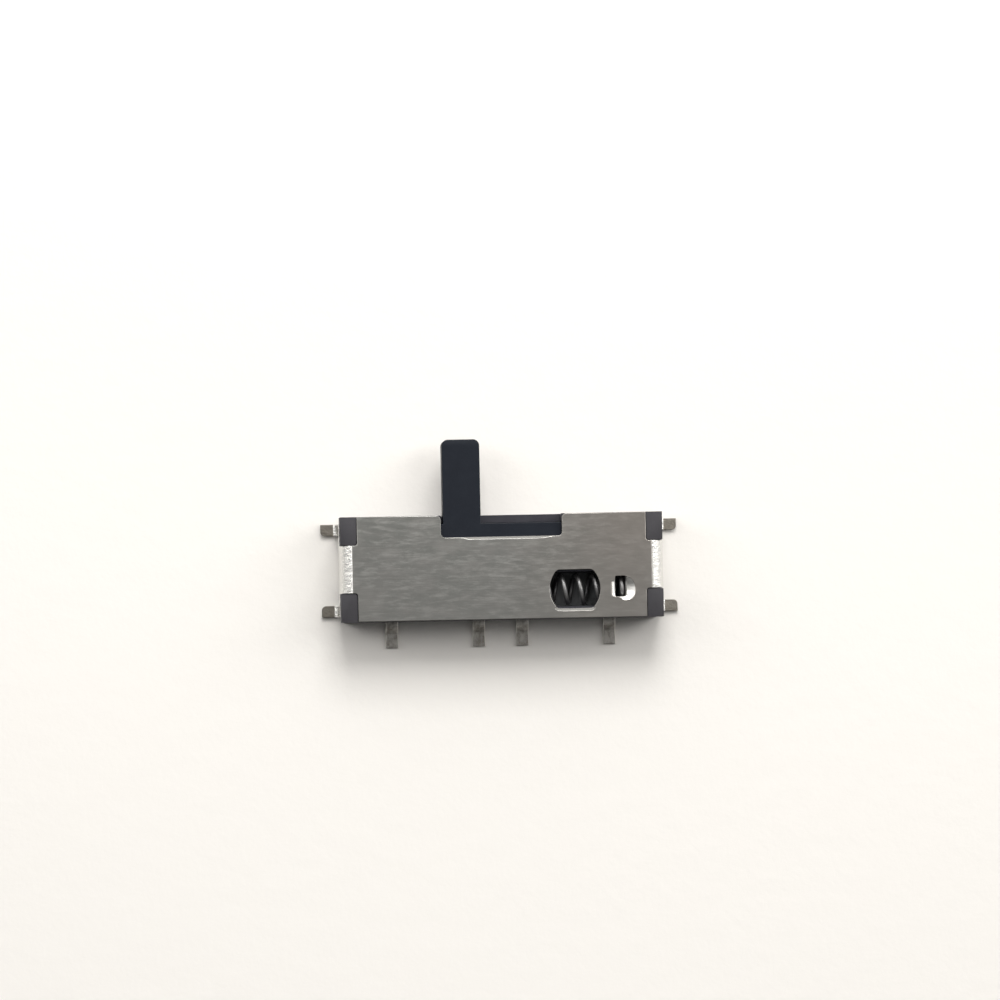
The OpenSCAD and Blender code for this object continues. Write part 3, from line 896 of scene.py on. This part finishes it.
def mixed(tree, share, first, second):
    """Mixes two colours, each written out or taken from another node."""
    mix = tree.nodes.new("ShaderNodeMix")
    mix.data_type = "RGBA"
    tree.links.new(share, mix.inputs["Factor"])
    for colour, socket in ((first, mix.inputs["A"]), (second, mix.inputs["B"])):
        if isinstance(colour, tuple):
            socket.default_value = (*colour, 1)
        else:
            tree.links.new(colour, socket)
    return mix.outputs["Result"]


def bump(tree, shader, *layers):
    """Adds bumps, each (height value, distance in millimetres), one on another."""
    normal = None
    for height, distance in layers:
        node = tree.nodes.new("ShaderNodeBump")
        node.inputs["Distance"].default_value = distance * MM
        tree.links.new(height, node.inputs["Height"])
        if normal:
            tree.links.new(normal, node.inputs["Normal"])
        normal = node.outputs["Normal"]
    tree.links.new(normal, shader.inputs["Normal"])


def rolled_steel():
    """Satin sheet with faint rolling marks, crazing on its bends and dull solder feet. The bends
    and the stop hole's dish are painted pale as a painted highlight, and the plate is painted
    darker towards its rear edge as painted shade.
    """
    made, tree, shader = material("rolled_steel", (0.55, 0.55, 0.53), 1.0, 0.3)

    # Where each part of the sheet is, from 0 for elsewhere to 1.
    height = place_along(tree, "Z")
    away = distance_from(tree, "X", 0)
    from_hole = computed(tree, "MAXIMUM", distance_from(tree, "X", HOLE_X),
                         distance_from(tree, "Y", SPRING_Y))
    sole = BODY_HALF + FOOT_BEND
    foot = spread_mm(tree, away, sole - 0.05, sole - 0.03, 0, 1)
    bend_crazing_and_sheen = spread_mm(tree, away, BEND_X - 0.02, BEND_X + 0.04, 0, 1)
    near_hole = spread_mm(tree, from_hole, 0.52, 0.54, 1, 0)
    lowered = spread_mm(tree, height, TOP - 0.012, TOP - 0.004, 1, 0)
    pressed = computed(tree, "MULTIPLY", near_hole, lowered)
    rolled = spread_mm(tree, height, TOP - 0.003, TOP - 0.0004, 1, 0)
    punched = computed(tree, "SUBTRACT", rolled, computed(tree, "MAXIMUM", bend_crazing_and_sheen, near_hole))

    cloud = spread(tree, noise(tree, (0.9, 0.45, 0.45)), 0.38, 0.62, 0, 1)
    streak = noise(tree, (1.2, 0.035, 0.035))
    patch = noise(tree, (0.55, 0.13, 0.13), roughness=0.7)
    colour = mixed(tree, cloud, (0.48, 0.49, 0.465), (0.6, 0.59, 0.565))
    for share, coat in (
        (spread(tree, streak, 0.4, 0.7, 0, 0.6), (0.43, 0.43, 0.41)),
        (spread(tree, patch, 0.48, 0.66, 0, 0.75), (0.7, 0.7, 0.67)),
        (spread_mm(tree, place_along(tree, "X"), 0, 0.8 * BEND_X, 0, 0.55), (0.54, 0.47, 0.42)),
        # painted shade: the plate is darker towards its rear edge, away from the light
        (spread_mm(tree, place_along(tree, "Y"), COVER_HALF_DEPTH, -COVER_HALF_DEPTH, 0, 0.5),
         (0.4, 0.4, 0.385)),
        (punched, (0.2, 0.197, 0.188)),
        # painted highlight: the bends and the stop hole's dish are made pale so that they shine
        # white
        (computed(tree, "MAXIMUM", bend_crazing_and_sheen, pressed), (0.86, 0.855, 0.83)),
        (foot, (0.21, 0.195, 0.17)),
    ):
        colour = mixed(tree, share, colour, coat)
    tree.links.new(colour, shader.inputs["Base Color"])
    satin = spread(tree, patch, 0.3, 0.7, 0.28, 0.32)
    satin = computed(tree, "SUBTRACT", satin, computed(tree, "MULTIPLY", bend_crazing_and_sheen, 0.08))
    for share, roughness in ((foot, 0.5), (punched, 0.58)):
        satin = computed(tree, "MAXIMUM", satin, computed(tree, "MULTIPLY", share, roughness))
    tree.links.new(satin, shader.inputs["Roughness"])
    crazing = computed(tree, "MULTIPLY", noise(tree, (0.12, 0.12, 0.12), 5, 0.7), bend_crazing_and_sheen)
    bump(tree, shader, (streak, 0.0008), (crazing, 0.035))
    return made


def posts_painted_sheen(tree):
    """The tops of the corner posts, which the cover leaves bare, painted paler as a painted sheen.
    """
    # painted sheen: the post tops are paler than the rest of the base
    top = spread_mm(tree, place_along(tree, "Z"), TOP - 0.05, TOP - 0.01, 0, 1)
    return top, (0.068, 0.065, 0.068)


def channel_painted_light(tree):
    """The channel that the spring lies in, which shows through the cover's window, painted paler as
    painted light.
    """
    half = CHANNEL_WIDTH / 2
    end = CAVITY_HALF
    # painted light: the channel's floor and walls are made paler than the rest of the base
    across = spread_mm(tree, distance_from(tree, "Y", SPRING_Y), half - 0.04, half - 0.01, 1, 0)
    along = spread_mm(tree, distance_from(tree, "X", 0), end + 0.02, end + 0.05, 1, 0)
    return computed(tree, "MULTIPLY", across, along), (0.135, 0.14, 0.145)


def moulded_plastic(name, colour, other, roughness, grain, marks=()):
    """Matt plastic in two close tints. Each mark is a part of it painted in a colour of its own;
    those given here are a painted sheen and painted light.
    """
    uneven = 0.08
    made, tree, shader = material(name, colour, 0.0, roughness, gloss=0.26)
    cloud = noise(tree, (0.5, 0.5, 0.5))
    speckle = noise(tree, (grain, grain, grain), 3)
    tint = mixed(tree, spread(tree, cloud, 0.35, 0.65, 0, 1), colour, other)
    for mark in marks:
        where, paler = mark(tree)
        tint = mixed(tree, where, tint, paler)
    tree.links.new(tint, shader.inputs["Base Color"])
    satin = spread(tree, speckle, 0.3, 0.7, roughness - uneven, roughness + uneven)
    tree.links.new(satin, shader.inputs["Roughness"])
    bump(tree, shader, (speckle, 0.003))
    return made


def plated_strip(name, colour, dull, roughness, edge=None, painted_shade_below=None):
    """Clouded plating, which may be painted brighter along the strip's sides as a painted
    highlight, and darker under a height as painted shade.
    """
    made, tree, shader = material(name, colour, 1.0, roughness)
    cloud = spread(tree, noise(tree, (0.2, 0.3, 0.2)), 0.4, 0.6, 0, 1)
    plating = mixed(tree, cloud, colour, dull)
    if edge:
        facing = tree.nodes.new("ShaderNodeSeparateXYZ")
        normal = tree.nodes.new("ShaderNodeTexCoord").outputs["Normal"]
        tree.links.new(normal, facing.inputs["Vector"])
        sideways = computed(tree, "ABSOLUTE", facing.outputs["X"])
        # painted highlight: the faces that turn sideways are made paler
        plating = mixed(tree, spread(tree, sideways, 0.2, 0.5, 0, 1), plating, edge)
    if painted_shade_below:
        # painted shade: the wire is darker below the given height
        lower_shade = spread_mm(tree, place_along(tree, "Z"), painted_shade_below - 0.15, painted_shade_below + 0.15, 0.55, 0)
        plating = mixed(tree, lower_shade, plating, (0.04, 0.04, 0.045))
    tree.links.new(plating, shader.inputs["Base Color"])
    satin = spread(tree, cloud, 0, 1, roughness, roughness + 0.15)
    tree.links.new(satin, shader.inputs["Roughness"])
    bump(tree, shader, (noise(tree, (0.06, 0.1, 0.06), 3), 0.003))
    return made


def dress(piece, finish):
    piece.data.materials.clear()
    piece.data.materials.append(finish)


dress(cover, rolled_steel())
dress(slider, moulded_plastic("navy_black_plastic", (0.005, 0.008, 0.015),
                              (0.007, 0.0105, 0.018), 0.5, 0.05))
# The base's post tops carry a painted sheen, and its spring channel painted light.
dress(base, moulded_plastic("grey_black_plastic", (0.034, 0.034, 0.043), (0.042, 0.042, 0.052),
                            0.6, 0.06, (posts_painted_sheen, channel_painted_light)))
# The wire is painted darker below the spring's axis, as painted shade.
dress(spring, plated_strip("drawn_wire", (0.3, 0.3, 0.305), (0.22, 0.22, 0.22), 0.44,
                           painted_shade_below=SPRING_Z))
# The terminals' sides are painted paler, as a painted highlight.
for terminal in terminals:
    dress(terminal, plated_strip("tinned_strip", (0.46, 0.445, 0.42), (0.26, 0.245, 0.225), 0.36,
                                 edge=(0.82, 0.8, 0.76)))
contact.material_slots[0].material = plated_strip("spring_bronze", (0.72, 0.56, 0.33),
                                                  (0.6, 0.45, 0.26), 0.3)

# -------------------------------------------------- floor, light and camera

WARM_WHITE = (1, 0.985, 0.96)


def floor():
    half = 400 * MM
    corners = [(-half, -half, 0), (half, -half, 0), (half, half, 0), (-half, half, 0)]
    mesh = bpy.data.meshes.new("floor")
    mesh.from_pydata(corners, [], [(0, 1, 2, 3)])
    made = bpy.data.objects.new("floor", mesh)
    bpy.context.scene.collection.objects.link(made)
    finish, tree, shader = material("floor_paper", (0.93, 0.908, 0.875), 0.0, 0.9)
    bump(tree, shader, (noise(tree, (0.8, 0.8, 0.8), 5), 0.02))
    made.data.materials.append(finish)


def area_light(name, place, width, height, power):
    """A lamp that faces the switch. Its place and its sides are in millimetres."""
    data = bpy.data.lights.new(name, "AREA")
    data.shape = "RECTANGLE"
    data.size = width * MM
    data.size_y = height * MM
    data.energy = power
    data.color = WARM_WHITE
    lamp = bpy.data.objects.new(name, data)
    lamp.location = Vector(place) * MM
    lamp.rotation_euler = (-Vector(place)).to_track_quat("-Z", "Y").to_euler()
    bpy.context.scene.collection.objects.link(lamp)


def world_light():
    """A pale room, darker overhead and behind the terminals, where someone stands and looks down.

    Metal also sees a pale wall a little way up behind the terminals.
    """
    world = bpy.data.worlds.new("studio")
    bpy.context.scene.world = world
    world.use_nodes = True
    tree = world.node_tree
    sky = tree.nodes["Background"]
    where = tree.nodes.new("ShaderNodeTexCoord").outputs["Generated"]

    def towards(x, y, z):
        product = tree.nodes.new("ShaderNodeVectorMath")
        product.operation = "DOT_PRODUCT"
        tree.links.new(where, product.inputs[0])
        product.inputs[1].default_value = Vector((x, y, z)).normalized()
        return product.outputs["Value"]

    def blend(share, first, second):
        """Mixes two strengths, each written out or taken from another node."""
        mix = tree.nodes.new("ShaderNodeMix")
        mix.data_type = "FLOAT"
        tree.links.new(share, mix.inputs["Factor"])
        for value, socket in ((first, mix.inputs["A"]), (second, mix.inputs["B"])):
            if isinstance(value, float):
                socket.default_value = value
            else:
                tree.links.new(value, socket)
        return mix.outputs["Result"]

    path = tree.nodes.new("ShaderNodeLightPath")
    lit = spread(tree, towards(0, 1, 0), -0.25, 0.6, 0.03, 0.95)
    seen = spread(tree, towards(0.3, 0.95, 0), -0.4, 0.6, 0.06, 0.85)
    behind = computed(tree, "MULTIPLY", spread(tree, towards(0, -1, 0), 0.2, 0.6, 0, 0.3),
                      spread(tree, towards(0, 0, 1), 0.25, 0.5, 0, 1))
    walls = blend(path.outputs["Is Glossy Ray"], lit, computed(tree, "MAXIMUM", seen, behind))
    overhead = spread(tree, towards(0, -0.12, 0.99), 0.8, 0.92, 0, 1)
    room = blend(overhead, walls, 0.2)
    tree.links.new(blend(path.outputs["Is Camera Ray"], room, 0.97), sky.inputs["Strength"])
    sky.inputs["Color"].default_value = (*WARM_WHITE, 1)


def look_down():
    """The camera is almost straight above, a little to the terminals' side and released end."""
    distance = 300.0
    view_width = 34.28          # of the picture, in millimetres at the cover's top
    aim_right = -0.07
    aim_up = 2.29
    lean_x = math.radians(-3.2)
    lean_y = math.radians(-1.5)
    roll = math.radians(-1.1)
    right = Vector((math.cos(roll), math.sin(roll), 0))
    up = Vector((-math.sin(roll), math.cos(roll), 0))
    back = Vector((math.sin(lean_x), math.sin(lean_y), math.cos(lean_x) * math.cos(lean_y)))
    back.normalize()
    aim = Vector((0, 0, TOP)) + right * aim_right + up * aim_up
    right = (right - back * right.dot(back)).normalized()
    data = bpy.data.cameras.new("camera")
    data.sensor_width = 36
    data.lens = data.sensor_width * distance / view_width
    data.clip_start = 5 * MM
    data.clip_end = 5000 * MM
    camera = bpy.data.objects.new("camera", data)
    turn = Matrix((right, back.cross(right), back)).transposed().to_4x4()
    camera.matrix_world = Matrix.Translation((aim + back * distance) * MM) @ turn
    bpy.context.scene.collection.objects.link(camera)
    bpy.context.scene.camera = camera


floor()
world_light()
area_light("window", (6, 90, 90), 60, 62, 0.1)
area_light("right", (200, 80, 190), 110, 290, 0.3)
area_light("left", (-200, 80, 190), 90, 290, 0.19)
look_down()
bpy.context.scene.view_settings.view_transform = "Standard"
